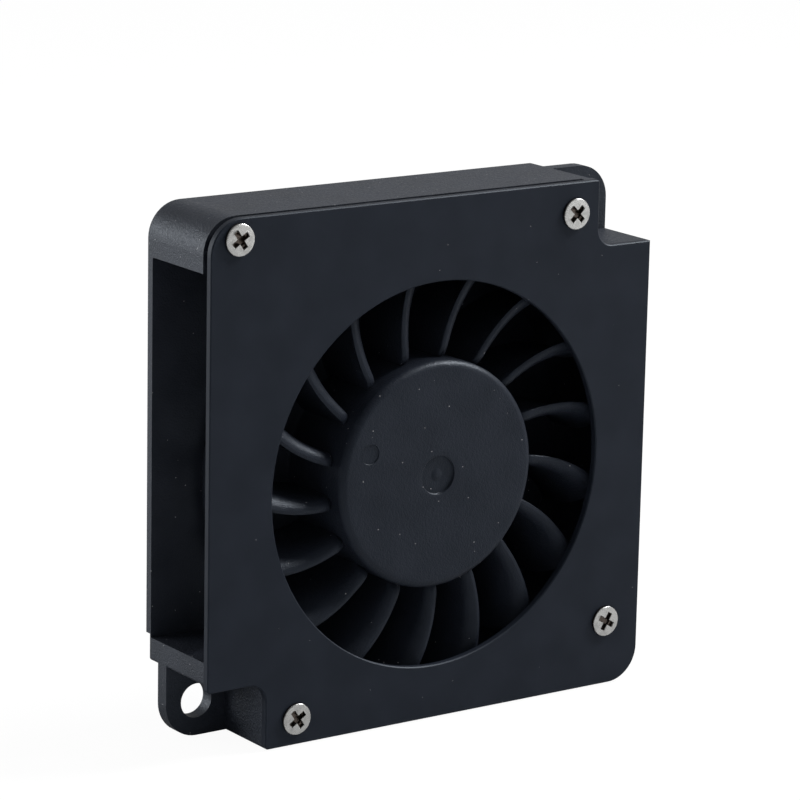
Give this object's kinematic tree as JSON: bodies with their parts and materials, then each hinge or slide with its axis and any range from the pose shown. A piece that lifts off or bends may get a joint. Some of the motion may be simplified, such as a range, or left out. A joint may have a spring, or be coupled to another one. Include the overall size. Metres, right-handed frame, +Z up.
{
  "type": "dc blower fan",
  "caption": "Flat centrifugal blower with a round front inlet, a side outlet, swept blades on a hub that holds the motor, and two fixing ears.",
  "frame": {"origin": "centre of the bounding box at its base, where the blower stands on its lower edge", "axes": "+Z up, +X to the right seen from the inlet side, outlet toward -X, +Y from the inlet side to the back"},
  "size_m": [0.075, 0.017, 0.0757],
  "materials": {
    "case_plastic": "glass-filled moulding with a fine eroded texture",
    "cover_plastic": "smooth satin moulding",
    "impeller_plastic": "fine eroded moulding",
    "screw_steel": "zinc plated",
    "tube_brass": "turned",
    "bush_brass": "turned",
    "bearing_steel": "ground",
    "ball_steel": "polished",
    "shield_steel": "pressed",
    "core_steel": "stacked laminations",
    "yoke_steel": "zinc plated pressing",
    "shaft_steel": "ground",
    "magnet_rubber": "magnet powder in rubber",
    "bobbin_plastic": "natural moulding",
    "coil_wire": "enamelled copper wire",
    "pin_metal": "tinned",
    "board_laminate": "lacquered laminate",
    "chip_plastic": "moulded package",
    "capacitor_ceramic": "fired ceramic"
  },
  "bodies": {
    "housing": {"rear_case": "case_plastic", "front_cover": "cover_plastic", "cover_screws": "screw_steel", "bearing_tube": "tube_brass", "front_bearing_outer_ring": "bearing_steel", "front_bearing_shields": "shield_steel", "rear_bearing_outer_ring": "bearing_steel", "rear_bearing_shields": "shield_steel", "stator_core": "core_steel", "front_insulator": "bobbin_plastic", "rear_insulator": "bobbin_plastic", "coil_1": "coil_wire", "coil_2": "coil_wire", "coil_3": "coil_wire", "coil_4": "coil_wire", "winding_pins": "pin_metal", "circuit_board": "board_laminate", "hall_sensor": "chip_plastic", "driver_chip": "chip_plastic", "capacitor_1": "capacitor_ceramic", "capacitor_2": "capacitor_ceramic", "resistor_1": "chip_plastic", "rear_cap": "case_plastic"},
    "rotor": {"impeller_hub": "impeller_plastic", "impeller_blades": "impeller_plastic", "rotor_yoke": "yoke_steel", "magnet_ring": "magnet_rubber", "shaft_bush": "bush_brass", "shaft": "shaft_steel", "front_bearing_inner_ring": "bearing_steel", "rear_bearing_inner_ring": "bearing_steel", "preload_washer": "shield_steel", "thrust_washer": "shield_steel", "shaft_clip": "shield_steel"},
    "front_ball_set": {"front_bearing_balls": "ball_steel"},
    "rear_ball_set": {"rear_bearing_balls": "ball_steel"}
  },
  "joints": [
    {"name": "rotor_spin", "type": "hinge", "parent": "housing", "child": "rotor", "pos_m": [0.0007, 0, 0.03575], "axis": [0, -1, 0], "continuous": true},
    {"name": "front_balls_spin", "type": "hinge", "parent": "housing", "child": "front_ball_set", "pos_m": [0.0007, 0, 0.03575], "axis": [0, -1, 0], "continuous": true},
    {"name": "rear_balls_spin", "type": "hinge", "parent": "housing", "child": "rear_ball_set", "pos_m": [0.0007, 0, 0.03575], "axis": [0, -1, 0], "continuous": true}
  ],
  "couplings": [
    {"joint": "front_balls_spin", "follows": "rotor_spin", "ratio": 0.38},
    {"joint": "rear_balls_spin", "follows": "rotor_spin", "ratio": 0.38}
  ]
}
